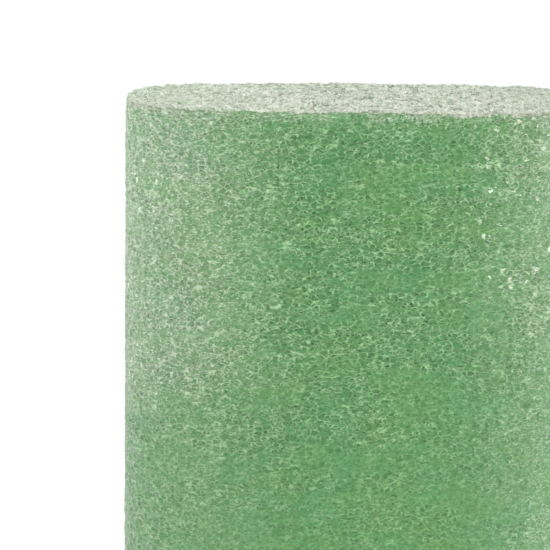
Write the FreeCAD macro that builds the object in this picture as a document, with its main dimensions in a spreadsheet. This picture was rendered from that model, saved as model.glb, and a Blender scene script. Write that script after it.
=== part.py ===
import FreeCAD, Part
import math
import os
import Sketcher

# A dry floral foam brick, standing on end. It is one block, cut from coarse closed-cell foam: a tall prism whose
# broad faces bow out a little and whose vertical edges are rounded generously. The two cut ends are flat, with a
# slightly worn arris. X is across the broad faces, Y is through the thickness and Z is up. The origin is the
# centre of the bottom end. All sizes are in millimetres.

SIZES = {
    "width": 110.0,          # across the broad faces, at the widest
    "depth": 80.0,           # through the middle of the broad faces
    "height": 230.0,         # from one cut end to the other
    "corner_radius": 28.0,   # the four rounded vertical edges
    "face_radius": 180.0,    # the gentle bow of the two broad faces, seen from above
    "arris_radius": 1.2,     # the worn edge round each cut end
}
FOAM_DENSITY = 30.0          # kg per cubic metre, of coarse extruded foam
MM3_PER_M3 = 1e9

# Where a sketch constraint touches a line or an arc.
START = 1
END = 2
CENTRE = 3
# The sketch's own axes and origin, as constraints name them.
ORIGIN = -1
Y_AXIS = -2

doc = FreeCAD.newDocument("floral_foam_brick")


def add_sizes():
    """The sheet of driving dimensions that every feature reads."""
    sheet = doc.addObject("Spreadsheet::Sheet", "sizes")
    for row, (name, value) in enumerate(SIZES.items(), start=1):
        sheet.set(f"A{row}", name)
        sheet.set(f"B{row}", str(value))
        sheet.setAlias(f"B{row}", name)
    doc.recompute()
    return sheet


def origin_plane(body, role):
    """One of the body's own three origin planes."""
    return next(plane for plane in body.Origin.OriginFeatures if plane.Role == role)


def add_constraint(sketch, name, expression, *definition):
    """Adds a dimension to the sketch and binds it to the sheet."""
    index = sketch.addConstraint(Sketcher.Constraint(*definition))
    sketch.renameConstraint(index, name)
    sketch.setExpression(f"Constraints.{name}", expression)


def arc(centre_x, centre_y, radius, first, last):
    """An arc that runs anticlockwise between two angles in radians."""
    circle = Part.Circle(FreeCAD.Vector(centre_x, centre_y, 0), FreeCAD.Vector(0, 0, 1), radius)
    return Part.ArcOfCircle(circle, first, last)


def draw_outline(sketch):
    """The brick seen from above: two bowed faces, two flat sides and four tangent corner arcs."""
    half_width = SIZES["width"] / 2
    half_depth = SIZES["depth"] / 2
    corner = SIZES["corner_radius"]
    face = SIZES["face_radius"]
    # Each corner's circle touches the flat side and lies inside the face's circle.
    corner_x = half_width - corner
    face_y = face - half_depth
    corner_y = math.sqrt((face - corner) ** 2 - corner_x**2) - face_y
    turn = math.atan2(corner_y + face_y, corner_x)
    full = 2 * math.pi
    outline = [
        arc(0, face_y, face, math.pi + turn, full - turn),
        arc(corner_x, -corner_y, corner, full - turn, full),
        Part.LineSegment(
            FreeCAD.Vector(half_width, -corner_y, 0), FreeCAD.Vector(half_width, corner_y, 0)
        ),
        arc(corner_x, corner_y, corner, 0, turn),
        arc(0, -face_y, face, turn, math.pi - turn),
        arc(-corner_x, corner_y, corner, math.pi - turn, math.pi),
        Part.LineSegment(
            FreeCAD.Vector(-half_width, corner_y, 0), FreeCAD.Vector(-half_width, -corner_y, 0)
        ),
        arc(-corner_x, -corner_y, corner, math.pi, math.pi + turn),
    ]
    for piece in outline:
        sketch.addGeometry(piece, False)
    front, right, back, left = 0, 2, 4, 6
    corners = (1, 3, 5, 7)
    count = len(outline)
    for index in range(count):
        following = (index + 1) % count
        sketch.addConstraint(Sketcher.Constraint("Tangent", index, END, following, START))
    for side in (right, left):
        sketch.addConstraint(Sketcher.Constraint("Vertical", side))
    for other in corners[1:]:
        sketch.addConstraint(Sketcher.Constraint("Equal", corners[0], other))
    sketch.addConstraint(Sketcher.Constraint("Equal", front, back))
    for bowed in (front, back):
        sketch.addConstraint(Sketcher.Constraint("PointOnObject", bowed, CENTRE, Y_AXIS))
    add_constraint(sketch, "corner", "sizes.corner_radius", "Radius", corners[0], corner)
    add_constraint(sketch, "bow", "sizes.face_radius", "Radius", front, face)
    half = "sizes.width / 2"
    to_centre = "sizes.face_radius - sizes.depth / 2"
    add_constraint(sketch, "right_side", half, "DistanceX", ORIGIN, START, right, START, half_width)
    add_constraint(sketch, "left_side", half, "DistanceX", left, START, ORIGIN, START, half_width)
    add_constraint(sketch, "front_bow", to_centre, "DistanceY", ORIGIN, START, front, CENTRE, face_y)
    add_constraint(sketch, "back_bow", to_centre, "DistanceY", back, CENTRE, ORIGIN, START, face_y)


def end_edges(shape, height):
    """The names of the edges that lie all round the bottom and the top end."""
    names = []
    for index, edge in enumerate(shape.Edges, start=1):
        box = edge.BoundBox
        level = box.ZLength < 1e-6
        at_an_end = abs(box.ZMin) < 1e-6 or abs(box.ZMin - height) < 1e-6
        if level and at_an_end:
            names.append(f"Edge{index}")
    return names


def add_foam_brick():
    """The whole block of foam: the outline padded to its height, with both ends' edges worn round."""
    body = doc.addObject("PartDesign::Body", "foam_brick")
    body.Label = "foam_brick"
    sketch = body.newObject("Sketcher::SketchObject", "outline")
    sketch.AttachmentSupport = [(origin_plane(body, "XY_Plane"), "")]
    sketch.MapMode = "FlatFace"
    draw_outline(sketch)
    doc.recompute()
    block = body.newObject("PartDesign::Pad", "block")
    block.Profile = sketch
    block.setExpression("Length", "sizes.height")
    doc.recompute()
    worn_ends = body.newObject("PartDesign::Fillet", "worn_ends")
    worn_ends.Base = (block, end_edges(block.Shape, SIZES["height"]))
    worn_ends.setExpression("Radius", "sizes.arris_radius")
    body.Tip = worn_ends
    body.Placement = FreeCAD.Placement()
    doc.recompute()
    return body


def check(part):
    """Stops the build if any feature failed, or the part is not one valid closed solid."""
    for item in doc.Objects:
        if "Invalid" in item.State or "Error" in item.State:
            raise RuntimeError(f"{item.Name} is {item.State}")
    shape = part.Shape
    if shape.isNull() or not shape.isValid() or len(shape.Solids) != 1:
        raise RuntimeError(f"{part.Label} is not one valid solid")


def report(part):
    """Prints the part's box and its mass as foam."""
    box = part.Shape.optimalBoundingBox(False, False)
    mass = part.Shape.Volume / MM3_PER_M3 * FOAM_DENSITY
    print(f"{part.Label}: {box.XLength:.2f} x {box.YLength:.2f} x {box.ZLength:.2f} mm")
    print(f"{part.Label}: z from {box.ZMin:.3f} mm, {part.Shape.Volume:.0f} mm3, {mass:.4f} kg")


add_sizes()
foam_brick = add_foam_brick()
check(foam_brick)
report(foam_brick)
os.makedirs("parts", exist_ok=True)
foam_brick.Shape.exportStep(f"parts/{foam_brick.Label}.step")
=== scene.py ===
import math
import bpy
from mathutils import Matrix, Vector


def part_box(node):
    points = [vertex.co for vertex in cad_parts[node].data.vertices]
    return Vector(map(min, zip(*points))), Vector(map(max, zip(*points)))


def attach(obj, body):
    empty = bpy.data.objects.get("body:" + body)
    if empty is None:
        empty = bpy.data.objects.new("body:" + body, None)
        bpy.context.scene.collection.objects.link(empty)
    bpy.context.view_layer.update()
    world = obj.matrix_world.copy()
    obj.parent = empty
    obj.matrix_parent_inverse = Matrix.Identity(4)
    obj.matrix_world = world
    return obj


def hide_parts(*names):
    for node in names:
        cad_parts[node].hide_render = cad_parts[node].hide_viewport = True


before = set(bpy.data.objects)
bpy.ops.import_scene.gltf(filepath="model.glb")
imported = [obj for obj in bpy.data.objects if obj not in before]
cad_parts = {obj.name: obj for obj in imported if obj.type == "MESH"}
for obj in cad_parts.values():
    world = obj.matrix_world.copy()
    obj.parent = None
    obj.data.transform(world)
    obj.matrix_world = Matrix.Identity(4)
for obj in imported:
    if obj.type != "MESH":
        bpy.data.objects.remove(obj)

from types import SimpleNamespace

import bmesh
import bpy
import numpy as np
from mathutils import Quaternion, Vector

# A brick of coarse dry floral foam, standing on end. The CAD solid is its outer envelope. Here it
# becomes one closed mesh whose surface is cut through the foam's largest cells: open cups with
# thin torn walls between them. The mesh and the material read the same pattern for those cells, so
# their colour and relief agree. The smaller cells, the wisps of film and the pattern of the crust
# are in the material alone. The material also paints light and shade into the colour: painted shade
# in hollows and pits, painted highlights on the film, and painted sheen and glints on the ends and
# upper corners. Lengths are in metres.

MM = 0.001
NODE = "foam_brick"
BODY = "root"
REST = "rest"  # the mesh attribute that holds each point's place before the relief
ARRIS = "arris"  # the mesh attribute that says how near each point is to an arris
BAKE_MAP = "OFBake"  # the UV map laid out for baking the material

# The envelope, as in the CAD.
CORNER_RADIUS = 28 * MM
FACE_RADIUS = 180 * MM
ARRIS_RADIUS = 1.2 * MM
POINTS_PER_ARC = 25
POINTS_PER_ARRIS = 5
SAME_POINT = 1e-7  # points nearer to each other than this are one
CHART_GAP = 2 * MM

# The cells, wider than they are tall.
MESH_STEP = 0.32 * MM
CELL_SIZE = Vector((1.7, 2.4, 1.05)) * MM
SMALL_CELLS = 0.5  # the size of smaller cells, as a share of CELL_SIZE
TINY_CELLS = 0.34  # the size of the smallest cells, as a share of CELL_SIZE
CRUST_SIZE = Vector((2.8, 3.5, 1.2)) * MM
BEND_LENGTH = 1.4  # how far apart the bends in the cell pattern are, in cells

# The film between the cells, and the wear, painted sheen and painted glints on it.
FILM_STRETCH = (1.0, 0.55, 1.9)  # by how much its noise is drawn together along each axis
WISP_WIDTH = 0.036  # how far from its middle value the noise still counts as a line
GLINT_CHIP_SPACING = 2.7 * MM
SHEEN_LINE_SLOPE = 0.27  # painted sheen, glinting chips and the boldest film and shade lie above a line that rises this steeply to the right
SHEEN_LINE_WANDER = 24 * MM

# How deep the surface is cut below the envelope.
CUP_DEPTH = 0.30 * MM
UNEVEN_DEPTH = 0.35 * MM
WORN_DEPTH = 0.30 * MM
CHIP_DEPTH = 1.1 * MM
DEEPER_ON_ENDS = 1.8
ARRIS_REACH = 2.5 * MM
BUMP_DEPTH = 0.12 * MM

# Colours of the foam. The greens of hollows and pits are painted shade, and the film green is partly
# painted highlight. The crust's sheen greys, the ends' film sheen, the pale wear-and-sheen colour and the
# glint colours are painted sheen and glints.
COOL_GREEN = (0.066, 0.29, 0.078, 1)
WARM_GREEN = (0.093, 0.30, 0.062, 1)
# painted shade in hollows and beside the walls
HOLLOW_SHADE_GREEN = (0.03, 0.18, 0.03, 1)
# painted shade in pits
PIT_SHADE_GREEN = (0.012, 0.11, 0.012, 1)
SPECK_GREEN = (0.02, 0.16, 0.02, 1)
# pale film: partly the walls' own colour, partly painted highlight
FILM_GREEN = (0.52, 0.90, 0.43, 1)
# painted sheen: the pale greys of the cut ends, as they look in grazing light
CRUST_SHEEN_GREY = (0.28, 0.37, 0.23, 1)
CRUST_SHEEN_PALE = (0.49, 0.59, 0.40, 1)
CRUST_DARK = (0.15, 0.19, 0.09, 1)
# painted glints of film on the cut ends
CRUST_GLINT_CREAM = (1.0, 1.0, 0.84, 1)
# film on the cut ends, whitened with painted sheen
CRUST_FILM_SHEEN = (1.0, 1.0, 0.90, 1)
# painted sheen at the corners, with worn film along the arrises
PALE_WEAR_AND_SHEEN = (0.78, 0.82, 0.68, 1)
# painted glints
GLINT = (0.82, 1.0, 0.78, 1)
# painted glints on chips of film
CHIP_GLINT = (0.84, 1.0, 0.74, 1)

# The camera.
CAMERA_FROM_TOP = (-5.03, 4.56)  # azimuth and elevation of the camera, seen from the middle of the top
CAMERA_DISTANCE = 0.6
CAMERA_LOOKS_BACK = (-3.05, 8.50)  # azimuth and elevation that the camera's back points to
CAMERA_ROLL = 0.64
LENS_MM = 172.8
FAR_CLIP = 100.0

# The studio.
FLOOR_RADIUS = 30.0
FLOOR_SIDES = 64
FLOOR_COLOUR = (0.9, 0.9, 0.9, 1)
FLOOR_GLOW = 0.31

LOW, HIGH = (Vector(corner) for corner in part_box(NODE))
CENTRE = (LOW + HIGH) / 2
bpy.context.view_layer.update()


# --- the block ---


def plan_outline(inset):
    """The brick from above, moved inwards by inset: two bowed faces, two flat sides, four corners."""
    half_width = (HIGH.x - LOW.x) / 2 - inset
    half_depth = (HIGH.y - LOW.y) / 2 - inset
    corner = CORNER_RADIUS - inset
    face = FACE_RADIUS - inset
    corner_x = half_width - corner
    face_y = face - half_depth
    corner_y = math.sqrt((face - corner) ** 2 - corner_x**2) - face_y
    turn = math.atan2(corner_y + face_y, corner_x)
    full = 2 * math.pi
    arcs = (
        (corner_x, corner_y, corner, 0, turn),
        (0, -face_y, face, turn, math.pi - turn),
        (-corner_x, corner_y, corner, math.pi - turn, math.pi),
        (-corner_x, -corner_y, corner, math.pi, math.pi + turn),
        (0, face_y, face, math.pi + turn, full - turn),
        (corner_x, -corner_y, corner, full - turn, full),
    )
    points = []
    for centre_x, centre_y, radius, first, last in arcs:
        for angle in np.linspace(first, last, POINTS_PER_ARC):
            point = Vector((centre_x + radius * math.cos(angle), centre_y + radius * math.sin(angle)))
            if not points or (point - points[-1]).length > SAME_POINT:
                points.append(point)
    return points


def build_block():
    """The closed block with worn edges round both ends, in even small faces."""
    mesh = bmesh.new()
    quarter = np.linspace(0, math.pi / 2, POINTS_PER_ARRIS)
    bottom = []
    for angle in quarter:
        bottom.append((ARRIS_RADIUS * (1 - math.sin(angle)), LOW.z + ARRIS_RADIUS * (1 - math.cos(angle))))
    top = [(inset, LOW.z + HIGH.z - height) for inset, height in reversed(bottom)]
    rings = []
    for inset, height in bottom + top:
        rings.append([mesh.verts.new((p.x, p.y, height)) for p in plan_outline(inset)])
    for lower, upper in zip(rings, rings[1:]):
        for i in range(len(lower)):
            j = (i + 1) % len(lower)
            mesh.faces.new((lower[i], lower[j], upper[j], upper[i]))
    mesh.faces.new(reversed(rings[0]))
    mesh.faces.new(rings[-1])
    data = bpy.data.meshes.new("foam")
    mesh.to_mesh(data)
    mesh.free()
    block = bpy.data.objects.new("foam", data)
    bpy.context.collection.objects.link(block)
    remesh = block.modifiers.new("even faces", "REMESH")
    remesh.mode = "VOXEL"
    remesh.voxel_size = MESH_STEP
    remesh.use_smooth_shade = True
    return block


# --- node helpers, for geometry and material alike ---


def add_node(tree, kind, inputs, **settings):
    """Adds a node, sets its properties, and links or sets its inputs."""
    node = tree.nodes.new(kind)
    for name, value in settings.items():
        setattr(node, name, value)
    for key, value in inputs.items():
        if isinstance(value, bpy.types.NodeSocket):
            tree.links.new(value, node.inputs[key])
        else:
            node.inputs[key].default_value = value
    return node


def maths(tree, operation, *values, clamp=False):
    """One Math node's result."""
    inputs = dict(enumerate(values))
    return add_node(tree, "ShaderNodeMath", inputs, operation=operation, use_clamp=clamp).outputs[0]


def vectors(tree, operation, *values):
    """One Vector Math node's result."""
    return add_node(tree, "ShaderNodeVectorMath", dict(enumerate(values)), operation=operation).outputs[0]


def ramped(tree, value, low, high, to_low=0.0, to_high=1.0, kind="SMOOTHSTEP"):
    """value mapped from low..high to to_low..to_high, and held there."""
    inputs = {"Value": value, "From Min": low, "From Max": high, "To Min": to_low, "To Max": to_high}
    return add_node(tree, "ShaderNodeMapRange", inputs, interpolation_type=kind).outputs["Result"]


def noise(tree, place, wavelength, detail=2.0, roughness=0.5):
    """Noise from 0 to 1 whose lumps are about wavelength apart."""
    inputs = {"Vector": place, "Scale": 1 / wavelength, "Detail": detail, "Roughness": roughness}
    return add_node(tree, "ShaderNodeTexNoise", inputs)


def patches(tree, place, wavelength, low, high, to_low=0.0, to_high=1.0, **texture):
    """Noise mapped from low..high to to_low..to_high, and held there."""
    return ramped(tree, noise(tree, place, wavelength, **texture).outputs[0], low, high, to_low, to_high)


def cells_at(tree, place, size, bend_by):
    """Foam cells of a mean size. Gives how far a place is from the nearest wall, in cells, the cell's
    random numbers, how far the cell's own tilted facet stands above its middle there, and how far up
    in the cell the place is."""
    spot = vectors(tree, "DIVIDE", place, size)
    bend = noise(tree, spot, BEND_LENGTH).outputs["Color"]
    bend = vectors(tree, "SUBTRACT", bend, (0.5, 0.5, 0.5))
    bend = vectors(tree, "MULTIPLY", bend, (bend_by, bend_by, bend_by))
    spot = vectors(tree, "ADD", spot, bend)
    source = {"Vector": spot, "Scale": 1.0}
    wall = add_node(tree, "ShaderNodeTexVoronoi", source, feature="DISTANCE_TO_EDGE")
    cell = add_node(tree, "ShaderNodeTexVoronoi", source, feature="F1")
    chances = add_node(tree, "ShaderNodeSeparateXYZ", {0: cell.outputs["Color"]})
    within = vectors(tree, "SUBTRACT", spot, cell.outputs["Position"])
    tilt = vectors(tree, "SUBTRACT", cell.outputs["Color"], (0.5, 0.5, 0.5))
    facet = add_node(tree, "ShaderNodeVectorMath", {0: within, 1: tilt}, operation="DOT_PRODUCT")
    rise = add_node(tree, "ShaderNodeSeparateXYZ", {0: within}).outputs["Z"]
    return wall.outputs["Distance"], chances.outputs, facet.outputs["Value"], rise


def on_ends(tree, place):
    """1 on the two cut ends and 0 on the sides. The line between is ragged, most of all at the right
    and in the left corners."""
    parts = add_node(tree, "ShaderNodeSeparateXYZ", {0: place}).outputs
    away = maths(tree, "ABSOLUTE", maths(tree, "SUBTRACT", parts["Z"], CENTRE.z))
    half = (HIGH.z - LOW.z) / 2
    ragged = patches(tree, place, 6 * MM, 0.35, 0.65, 0.0, 0.45, detail=4.0, roughness=0.7)
    fine = patches(tree, place, 0.9 * MM, 0.3, 0.7, 0.0, 0.55, detail=2.0, roughness=0.6)
    right = ramped(tree, parts["X"], 0.0, 22 * MM, 0.4 * MM, 2.3 * MM)
    left = ramped(tree, parts["X"], -48 * MM, -32 * MM, 3.0 * MM, 0.4 * MM)
    reach = maths(tree, "MULTIPLY", maths(tree, "ADD", ragged, fine), maths(tree, "MAXIMUM", left, right))
    return ramped(tree, maths(tree, "ADD", away, reach), half - 0.40 * MM, half - 0.02 * MM)


def foam_depth(tree, place, arris):
    """How far below the envelope the cut surface lies, in metres."""
    edge, chances, _, _ = cells_at(tree, place, CELL_SIZE, 1.0)
    cup = ramped(tree, edge, 0.0, 0.30, kind="LINEAR")
    openness = ramped(tree, chances["X"], 0.3, 0.8, 0.15, 1.0)
    depth = maths(tree, "MULTIPLY", cup, openness)
    depth = maths(tree, "MULTIPLY", depth, CUP_DEPTH)
    uneven = patches(tree, place, 1.6 * MM, 0.3, 0.7, 0.0, UNEVEN_DEPTH, detail=3.0, roughness=0.6)
    depth = maths(tree, "ADD", depth, uneven)
    deeper = ramped(tree, on_ends(tree, place), 0.0, 1.0, 1.0, DEEPER_ON_ENDS)
    depth = maths(tree, "MULTIPLY", depth, deeper)
    worn = patches(tree, place, 7 * MM, 0.3, 0.7, 0.0, WORN_DEPTH, detail=3.0)
    depth = maths(tree, "ADD", depth, worn)
    chipped = patches(tree, place, 5 * MM, 0.45, 0.7, 0.0, CHIP_DEPTH, detail=4.0, roughness=0.6)
    return maths(tree, "MULTIPLY_ADD", chipped, arris, depth)


def add_relief(block):
    """Cuts the largest cells, and the wear, into the block's surface."""
    tree = bpy.data.node_groups.new("foam relief", "GeometryNodeTree")
    tree.interface.new_socket("Geometry", in_out="INPUT", socket_type="NodeSocketGeometry")
    tree.interface.new_socket("Geometry", in_out="OUTPUT", socket_type="NodeSocketGeometry")
    source = tree.nodes.new("NodeGroupInput").outputs[0]
    place = tree.nodes.new("GeometryNodeInputPosition").outputs[0]
    normal = tree.nodes.new("GeometryNodeInputNormal").outputs[0]
    arris = add_node(tree, "GeometryNodeInputNamedAttribute", {"Name": ARRIS}, data_type="FLOAT").outputs[0]
    inwards = maths(tree, "MULTIPLY", foam_depth(tree, place, arris), -1.0)
    offset = add_node(tree, "ShaderNodeVectorMath", {0: normal, "Scale": inwards}, operation="SCALE")
    inputs = {"Geometry": source, "Offset": offset.outputs[0]}
    moved = add_node(tree, "GeometryNodeSetPosition", inputs)
    result = tree.nodes.new("NodeGroupOutput")
    tree.links.new(moved.outputs[0], result.inputs[0])
    block.modifiers.new("relief", "NODES").node_group = tree


def apply_modifiers(block):
    """Keeps what the modifiers make as the block's own mesh."""
    graph = bpy.context.evaluated_depsgraph_get()
    shown = block.evaluated_get(graph)
    made = bpy.data.meshes.new_from_object(shown, preserve_all_data_layers=True, depsgraph=graph)
    block.modifiers.clear()
    block.data = made


def read_vectors(items, name, kind):
    """One vector property of many mesh items, as rows of an array."""
    flat = np.empty(len(items) * 3, kind)
    items.foreach_get(name, flat)
    return flat.reshape(-1, 3).astype(float)


def outline_at(points):
    """For each point, how far inside the plan outline it lies and how far round the outline it is.
    Gives the outline's whole length as well."""
    outline = np.array([(p.x, p.y) for p in plan_outline(0.0)])
    outline = np.vstack([outline, outline[:1]])
    run = np.concatenate([[0.0], np.cumsum(np.hypot(*np.diff(outline, axis=0).T))])
    angle = np.unwrap(np.arctan2(outline[:, 1], outline[:, 0]))
    radius = np.hypot(outline[:, 0], outline[:, 1])
    asked = np.arctan2(points[:, 1] - CENTRE.y, points[:, 0] - CENTRE.x)
    asked = np.where(asked < angle[0], asked + 2 * math.pi, asked)
    inside = np.interp(asked, angle, radius) - np.hypot(points[:, 0] - CENTRE.x, points[:, 1] - CENTRE.y)
    return inside, np.interp(asked, angle, run), run[-1]


def mark_surface(block):
    """Stores each point's place, and how near it is to an arris, from 0 to 1."""
    points = read_vectors(block.data.vertices, "co", float)
    rest = block.data.attributes.new(REST, "FLOAT_VECTOR", "POINT")
    rest.data.foreach_set("vector", points.astype(np.float32).ravel())
    inside = np.maximum(outline_at(points)[0], 0)
    from_end = np.minimum(points[:, 2] - LOW.z, HIGH.z - points[:, 2])
    near = np.exp(-(inside**2 + from_end**2) / ARRIS_REACH**2)
    arris = block.data.attributes.new(ARRIS, "FLOAT", "POINT")
    arris.data.foreach_set("value", near.astype(np.float32))


def unwrap(block):
    """Lays the surface flat for the bake: the sides as one band, with the two ends below it."""
    mesh = block.data
    points = read_vectors(mesh.attributes[REST].data, "vector", np.float32)
    _, run, length = outline_at(points)
    corners = np.empty(len(mesh.loops), int)
    mesh.loops.foreach_get("vertex_index", corners)
    quads = corners.reshape(-1, 4)
    level = points[quads, 2]
    rim = ARRIS_RADIUS / 3
    on_top = level.min(1) > HIGH.z - rim
    on_bottom = level.max(1) < LOW.z + rim
    u = run[quads]
    wraps = u.max(1) - u.min(1) > length / 2
    u = np.where(wraps[:, None] & (u < length / 2), u + length, u)
    v = level + (HIGH.y - LOW.y) + CHART_GAP
    for end, shift in ((on_top, 0.0), (on_bottom, (HIGH.x - LOW.x) + CHART_GAP)):
        u[end] = points[quads[end], 0] - LOW.x + shift
        v[end] = points[quads[end], 1] - LOW.y
    side = length + 2 * CHART_GAP
    chart = np.stack([u + CHART_GAP / 2, v + CHART_GAP / 2], axis=-1) / side
    layer = mesh.uv_layers.new(name=BAKE_MAP)
    layer.data.foreach_set("uv", chart.astype(np.float32).ravel())


# --- materials ---


def mixed(tree, factor, first, second):
    """The second colour blended into the first."""
    inputs = {"Factor": factor, 6: first, 7: second}
    return add_node(tree, "ShaderNodeMix", inputs, data_type="RGBA").outputs[2]


def wisps(tree, place, wavelength):
    """Short thin curved lines, where noise passes through its middle value."""
    wave = noise(tree, place, wavelength, detail=1.5).outputs[0]
    away = maths(tree, "ABSOLUTE", maths(tree, "SUBTRACT", wave, 0.5))
    line = ramped(tree, away, 0.0, WISP_WIDTH, 1.0, 0.0)
    return maths(tree, "MULTIPLY", line, patches(tree, place, wavelength * 1.7, 0.46, 0.60, detail=1.0))


def read_surface(tree):
    """The values that several parts of the material read, at the shaded point."""
    at = SimpleNamespace()
    at.place = add_node(tree, "ShaderNodeAttribute", {}, attribute_name=REST).outputs["Vector"]
    at.arris = add_node(tree, "ShaderNodeAttribute", {}, attribute_name=ARRIS).outputs["Fac"]
    at.ends = on_ends(tree, at.place)
    at.stretched = vectors(tree, "MULTIPLY", at.place, FILM_STRETCH)
    parts = add_node(tree, "ShaderNodeSeparateXYZ", {0: at.place}).outputs
    at.x = parts["X"]
    at.aside = maths(tree, "ABSOLUTE", at.x)
    # The height above a wandering line that rises to the right.
    slanted = maths(tree, "MULTIPLY_ADD", at.x, -SHEEN_LINE_SLOPE, parts["Z"])
    wander = noise(tree, at.place, 12 * MM, detail=4.0, roughness=0.6).outputs[0]
    at.level = maths(tree, "MULTIPLY_ADD", wander, SHEEN_LINE_WANDER, slanted)
    at.edge, _, _, at.rise = cells_at(tree, at.place, CELL_SIZE, 1.0)
    small = cells_at(tree, at.place, CELL_SIZE * SMALL_CELLS, 1.0)
    at.small_edge, at.small_chances, at.small_facet, at.small_rise = small
    _, at.tiny_chances, at.tiny_facet, _ = cells_at(tree, at.place, CELL_SIZE * TINY_CELLS, 0.8)
    at.mottle = noise(tree, at.stretched, 1.1 * MM, roughness=0.6).outputs[0]
    at.sparkle = noise(tree, at.stretched, 0.6 * MM, detail=1.0).outputs[0]
    at.torn = patches(tree, at.stretched, 14 * MM, 0.40, 0.56, 0.5, 1.0, detail=3.0, roughness=0.6)
    at.torn = maths(tree, "MULTIPLY", at.torn, ramped(tree, at.level, 150 * MM, 195 * MM, 0.56, 1.0))
    return at


def add_film(tree, at):
    """Adds how much pale torn film a place has, held mostly to the upper side of each cell where it is
    partly a painted highlight from above, and how far it lies in the painted shade beside a wall.
    """
    # Walls stay mostly on the upper side of each cell, so the pale film is partly its own colour and partly
    # a painted highlight, as if lit from above.
    kept_on_lit_side = patches(tree, at.place, 2.2 * MM, 0.38, 0.52)
    kept_on_lit_side = maths(tree, "MULTIPLY", kept_on_lit_side, ramped(tree, at.rise, -0.15, 0.15, 0.15, 1.0))
    wall = maths(tree, "MULTIPLY", ramped(tree, at.edge, 0.0, 0.18, 1.0, 0.0), kept_on_lit_side)
    patchy_on_lit_side = patches(tree, at.place, 1.5 * MM, 0.50, 0.64)
    patchy_on_lit_side = maths(tree, "MULTIPLY", patchy_on_lit_side, ramped(tree, at.small_rise, -0.2, 0.2, 0.2, 1.0))
    small_wall = maths(tree, "MULTIPLY", ramped(tree, at.small_edge, 0.0, 0.18, 1.0, 0.0), patchy_on_lit_side)
    film = maths(tree, "MAXIMUM", wall, small_wall)
    film = maths(tree, "MAXIMUM", film, wisps(tree, at.stretched, 2.0 * MM))
    elsewhere = vectors(tree, "ADD", at.stretched, (0.31, 0.17, 0.23))  # for a pattern of its own
    film = maths(tree, "MAXIMUM", film, wisps(tree, elsewhere, 1.2 * MM))
    at.film = maths(tree, "MULTIPLY", film, at.torn)
    # A band just inside each wall, under it: painted shadow.
    past_wall = ramped(tree, at.edge, 0.14, 0.21)
    beside = maths(tree, "MULTIPLY", past_wall, ramped(tree, at.edge, 0.26, 0.38, 1.0, 0.0))
    at.beside = maths(tree, "MULTIPLY", beside, kept_on_lit_side)


def green_foam(tree, at):
    """The colour of the sides: two greens in blotches, painted shade in the hollows and pits, and pale
    film.
    """
    blotch = patches(tree, at.place, 12 * MM, 0.3, 0.7, detail=3.0, roughness=0.6)
    shade = mixed(tree, blotch, COOL_GREEN, WARM_GREEN)
    # Darker mottling standing for deep hollows, and the band beside each wall: painted shade.
    hollow_shade = maths(tree, "MAXIMUM", ramped(tree, at.mottle, 0.34, 0.53, 0.55, 0.0), at.beside)
    shade = mixed(tree, maths(tree, "MULTIPLY", hollow_shade, at.torn), shade, HOLLOW_SHADE_GREEN)
    # The insides of open small cells are darkened: painted shade in the pits.
    open_cell = ramped(tree, at.small_chances["X"], 0.5, 0.75)
    pit_shade = maths(tree, "MULTIPLY", ramped(tree, at.small_edge, 0.10, 0.25), open_cell)
    shade = mixed(tree, maths(tree, "MULTIPLY", pit_shade, at.torn), shade, PIT_SHADE_GREEN)
    shade = mixed(tree, maths(tree, "MULTIPLY", at.film, 0.76), shade, FILM_GREEN)
    paler = ramped(tree, at.tiny_chances["X"], 0.6, 1.0, 0.0, 0.12, kind="LINEAR")
    shade = mixed(tree, paler, shade, FILM_GREEN)
    darker = ramped(tree, at.tiny_chances["Y"], 0.5, 1.0, 0.0, 0.18, kind="LINEAR")
    return mixed(tree, darker, shade, SPECK_GREEN)


def crust_sheen_colour(tree, at):
    """The colour of the cut ends: pale grey-green cells with cream and dark ones among them. The paleness
    is painted sheen, as the ends look in grazing light, and the cream is painted glints of film.
    """
    _, chances, _, _ = cells_at(tree, at.place, CRUST_SIZE, 1.0)
    crust = mixed(tree, ramped(tree, chances["Y"], 0.3, 0.6), CRUST_SHEEN_GREY, CRUST_SHEEN_PALE)
    # Cream cells: painted glints of film in grazing light.
    crust = mixed(tree, ramped(tree, chances["X"], 0.65, 0.85, 0.0, 0.6), crust, CRUST_GLINT_CREAM)
    crust = mixed(tree, ramped(tree, at.small_chances["Y"], 0.55, 0.80, 0.0, 0.8), crust, CRUST_GLINT_CREAM)
    fewer = ramped(tree, at.x, -45 * MM, 45 * MM, 0.60, 0.76)
    crust = mixed(tree, ramped(tree, at.small_chances["Z"], fewer, 0.86, 0.0, 0.85), crust, CRUST_DARK)
    crust = mixed(tree, maths(tree, "MULTIPLY", at.film, 0.5), crust, CRUST_FILM_SHEEN)
    # Cream flecks along the arrises: painted glints.
    arris_glints = maths(tree, "MULTIPLY", at.arris, ramped(tree, at.sparkle, 0.45, 0.60, 0.15, 0.95))
    return mixed(tree, arris_glints, crust, CRUST_GLINT_CREAM)


def lay_crust_and_sheen(tree, at, shade):
    """Lays the pale crust, with its painted sheen, over the cut ends, more thinly near the sides."""
    crust_sheen_mix = maths(tree, "MULTIPLY", at.ends, ramped(tree, at.mottle, 0.35, 0.60, 0.75, 1.0))
    crust_sheen_mix = maths(tree, "MULTIPLY", crust_sheen_mix, ramped(tree, at.aside, 25 * MM, 50 * MM, 1.0, 0.55))
    return mixed(tree, crust_sheen_mix, shade, crust_sheen_colour(tree, at))


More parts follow.
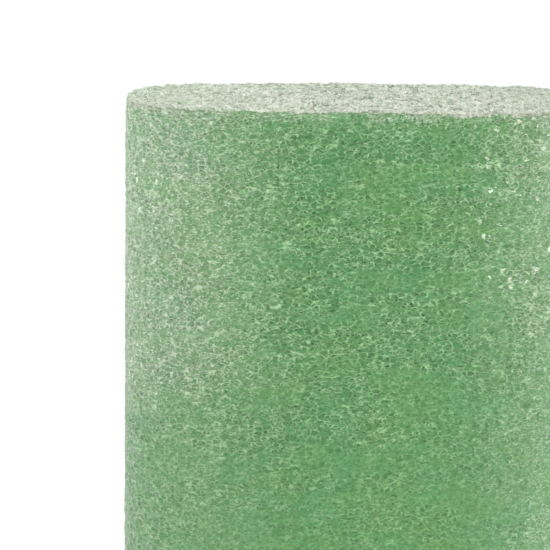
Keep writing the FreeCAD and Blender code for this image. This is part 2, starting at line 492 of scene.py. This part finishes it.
def add_wear_sheen_glints(tree, at, shade):
    """Painted sheen on the film where the sides turn away at the corners, mostly high up, wear and painted
    sparkle along the arrises, and painted glints among it.
    """
    # The pale wash on the sides near the corners is painted sheen, weaker lower down, as under a painted
    # shadow.
    sheen_lower = ramped(tree, at.x, 0.0, 40 * MM, 0.09, 0.17)
    sheen_amount = ramped(tree, at.level, 180 * MM, 200 * MM, sheen_lower, 0.23)
    wear_and_sheen = maths(tree, "MULTIPLY", ramped(tree, at.aside, 14 * MM, 44 * MM), sheen_amount)
    # Along the arrises the pale patches are partly wear and partly painted sparkle.
    frayed = patches(tree, at.place, 5 * MM, 0.42, 0.62, 0.10, 0.42, detail=3.0, roughness=0.6)
    wear_and_sheen = maths(tree, "MAXIMUM", wear_and_sheen, maths(tree, "MULTIPLY", at.arris, frayed))
    fleck = maths(tree, "MULTIPLY_ADD", at.film, 2.2, 0.55)
    shade = mixed(tree, maths(tree, "MULTIPLY", wear_and_sheen, fleck, clamp=True), shade, PALE_WEAR_AND_SHEEN)
    # Painted glints where the sheen, the arrises and the ends are.
    shiny = maths(tree, "MAXIMUM", maths(tree, "MULTIPLY", wear_and_sheen, 3.3), at.arris)
    shiny = maths(tree, "MAXIMUM", shiny, at.ends)
    glint = ramped(tree, at.sparkle, 0.60, 0.67, 0.0, 0.9)
    return mixed(tree, maths(tree, "MULTIPLY", shiny, glint, clamp=True), shade, GLINT)


def add_chip_glints(tree, at, shade):
    """A few painted glints, as bright chips of film, high up on the right of the face and round the sides.
    """
    source = {"Vector": at.place, "Scale": 1 / GLINT_CHIP_SPACING}
    glint_cells = add_node(tree, "ShaderNodeTexVoronoi", source, feature="F1")
    size = maths(tree, "MULTIPLY_ADD", at.mottle, 0.9, glint_cells.outputs["Distance"])
    right = ramped(tree, at.x, 16 * MM, 24 * MM)
    here = maths(tree, "MAXIMUM", right, ramped(tree, at.aside, 44 * MM, 50 * MM))
    here = maths(tree, "MULTIPLY", here, ramped(tree, at.level, 185 * MM, 200 * MM))
    here = maths(tree, "MULTIPLY", here, ramped(tree, size, 0.56, 0.61, 1.0, 0.0))
    return mixed(tree, here, shade, CHIP_GLINT)


def fine_relief(tree, at):
    """The shading normal, bent by the film, the cells' tilted facets and a fine grain."""
    grain = noise(tree, at.stretched, 0.35 * MM, roughness=0.6).outputs[0]
    height = maths(tree, "MULTIPLY_ADD", grain, 0.6, at.small_facet)
    height = maths(tree, "MULTIPLY_ADD", at.tiny_facet, 1.3, height)
    height = maths(tree, "MULTIPLY_ADD", height, at.torn, at.film)
    bump = add_node(tree, "ShaderNodeBump", {"Height": height, "Distance": BUMP_DEPTH, "Strength": 1.0})
    return bump.outputs[0]


def foam_material():
    """Green foam: pale thin walls round darker cups, their darkness painted shade, a pale crust with
    painted sheen on the cut ends, painted sheen and glints high on the corners, and shiny film.
    """
    material = bpy.data.materials.new("dry floral foam")
    material.use_nodes = True
    tree = material.node_tree
    tree.nodes.clear()
    at = read_surface(tree)
    add_film(tree, at)
    shade = green_foam(tree, at)
    shade = lay_crust_and_sheen(tree, at, shade)
    shade = add_wear_sheen_glints(tree, at, shade)
    shade = add_chip_glints(tree, at, shade)
    shader = add_node(
        tree,
        "ShaderNodeBsdfPrincipled",
        {
            "Base Color": shade,
            "Roughness": ramped(tree, at.tiny_chances["Z"], 0.7, 0.9, 0.38, 0.15),
            "Normal": fine_relief(tree, at),
            "Specular IOR Level": 0.7,
            "Sheen Weight": 0.55,
            "Sheen Roughness": 0.35,
        },
    )
    output = tree.nodes.new("ShaderNodeOutputMaterial")
    tree.links.new(shader.outputs[0], output.inputs[0])
    return material


# --- the studio ---


def add_floor():
    """A wide pale floor."""
    bpy.ops.mesh.primitive_circle_add(vertices=FLOOR_SIDES, radius=FLOOR_RADIUS, fill_type="NGON")
    floor = bpy.context.object
    floor.location.z = LOW.z
    floor.name = "floor"
    material = bpy.data.materials.new("pale floor")
    material.use_nodes = True
    shader = material.node_tree.nodes["Principled BSDF"]
    shader.inputs["Base Color"].default_value = FLOOR_COLOUR
    shader.inputs["Roughness"].default_value = 0.9
    shader.inputs["Specular IOR Level"].default_value = 0.0
    shader.inputs["Emission Color"].default_value = (1, 1, 1, 1)
    shader.inputs["Emission Strength"].default_value = FLOOR_GLOW
    floor.data.materials.append(material)


def add_world(left, right, front, back, roof):
    """A light tent whose walls shine by different amounts. To the camera they are plain white."""
    world = bpy.data.worlds.new("light tent")
    bpy.context.scene.world = world
    world.use_nodes = True
    tree = world.node_tree
    way = add_node(tree, "ShaderNodeTexCoord", {}).outputs["Generated"]
    parts = add_node(tree, "ShaderNodeSeparateXYZ", {0: way}).outputs
    level = maths(tree, "MULTIPLY", maths(tree, "MULTIPLY", parts["Z"], parts["Z"]), roof)
    for part, low, high in ((parts["X"], left, right), (parts["Y"], front, back)):
        far = maths(tree, "GREATER_THAN", part, 0.0)
        wall = maths(tree, "MULTIPLY_ADD", far, high - low, low)
        level = maths(tree, "MULTIPLY_ADD", maths(tree, "MULTIPLY", part, part), wall, level)
    shown = add_node(tree, "ShaderNodeLightPath", {}).outputs["Is Camera Ray"]
    level = maths(tree, "MAXIMUM", level, shown)
    background = tree.nodes["Background"]
    background.inputs["Color"].default_value = (1, 1, 1, 1)
    tree.links.new(level, background.inputs["Strength"])


def add_softbox(name, azimuth, elevation, distance, size, power):
    """A square soft light that faces the brick."""
    light = bpy.data.lights.new(name, "AREA")
    light.size = size
    light.energy = power
    holder = bpy.data.objects.new(name, light)
    bpy.context.collection.objects.link(holder)
    back = direction(azimuth, elevation)
    holder.location = CENTRE + back * distance
    holder.rotation_euler = (-back).to_track_quat("-Z", "Y").to_euler()
    holder.visible_camera = False


def direction(azimuth, elevation):
    """The way from the brick to a thing at that azimuth and elevation, in degrees, azimuth 0 being -Y."""
    turn, rise = math.radians(azimuth), math.radians(elevation)
    return Vector((math.sin(turn) * math.cos(rise), -math.cos(turn) * math.cos(rise), math.sin(rise)))


def add_camera():
    """A close view of the upper left part of the broad face, from a camera held a little out of level."""
    data = bpy.data.cameras.new("camera")
    data.lens = LENS_MM
    data.clip_end = FAR_CLIP
    camera = bpy.data.objects.new("camera", data)
    bpy.context.collection.objects.link(camera)
    top = Vector((CENTRE.x, CENTRE.y, HIGH.z))
    camera.location = top + direction(*CAMERA_FROM_TOP) * CAMERA_DISTANCE
    roll = Quaternion((0, 0, 1), math.radians(CAMERA_ROLL))
    camera.rotation_mode = "QUATERNION"
    camera.rotation_quaternion = direction(*CAMERA_LOOKS_BACK).to_track_quat("Z", "Y") @ roll
    bpy.context.scene.camera = camera


foam = build_block()
apply_modifiers(foam)
mark_surface(foam)
add_relief(foam)
apply_modifiers(foam)
unwrap(foam)
foam.data.materials.clear()
foam.data.materials.append(foam_material())
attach(foam, BODY)
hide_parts(NODE)
print("faces", len(foam.data.polygons))

add_floor()
add_world(left=0.42, right=1.3, front=1.0, back=1.7, roof=0.5)
add_softbox("left", azimuth=-80, elevation=50, distance=0.35, size=0.15, power=0.25)
add_softbox("right", azimuth=60, elevation=10, distance=0.8, size=0.5, power=0.8)
add_camera()
bpy.context.scene.view_settings.view_transform = "Standard"
